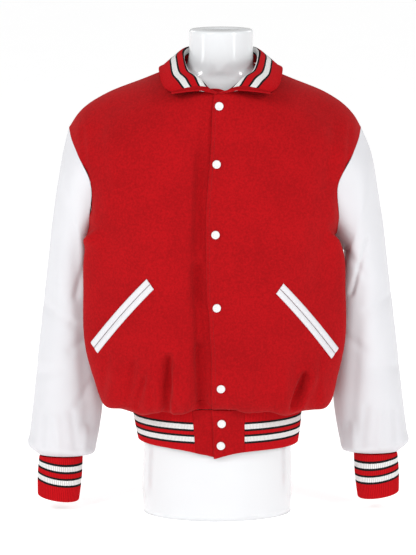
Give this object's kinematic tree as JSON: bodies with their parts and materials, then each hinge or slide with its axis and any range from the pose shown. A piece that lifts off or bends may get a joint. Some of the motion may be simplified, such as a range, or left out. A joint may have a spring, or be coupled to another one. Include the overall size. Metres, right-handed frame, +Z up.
{
  "type": "varsity jacket on a dress form",
  "caption": "Hip-length wool varsity jacket with smooth white set-in sleeves and striped rib-knit trims, snapped shut on a smooth limbless dress form.",
  "frame": {"origin": "middle of the dress form's flat base, at the surface that it stands on", "axes": "+Z up, the jacket's front faces -Y, the wearer's left is +X"},
  "size_m": [0.6908, 0.2989, 0.8726],
  "materials": {
    "melton": "brushed wool melton",
    "rib_knit": "rib knit with two white stripes edged in black",
    "sleeve": "smooth matt white",
    "snap": "white enamelled cap",
    "form": "glossy white"
  },
  "bodies": {
    "root": {"front_right": "melton", "front_left": "melton", "back": "melton", "sleeve_right": "sleeve", "sleeve_left": "sleeve", "cuff_right": "rib_knit", "cuff_left": "rib_knit", "waistband": "rib_knit", "collar": "rib_knit", "waistband_tab_right": "melton", "waistband_tab_left": "melton", "pocket_right_upper": "sleeve", "pocket_right_lower": "sleeve", "pocket_left_upper": "sleeve", "pocket_left_lower": "sleeve", "snap_1": "snap", "snap_2": "snap", "snap_3": "snap", "snap_4": "snap", "snap_5": "snap", "snap_6": "snap", "snap_7": "snap", "dress_form": "form"}
  },
  "joints": []
}
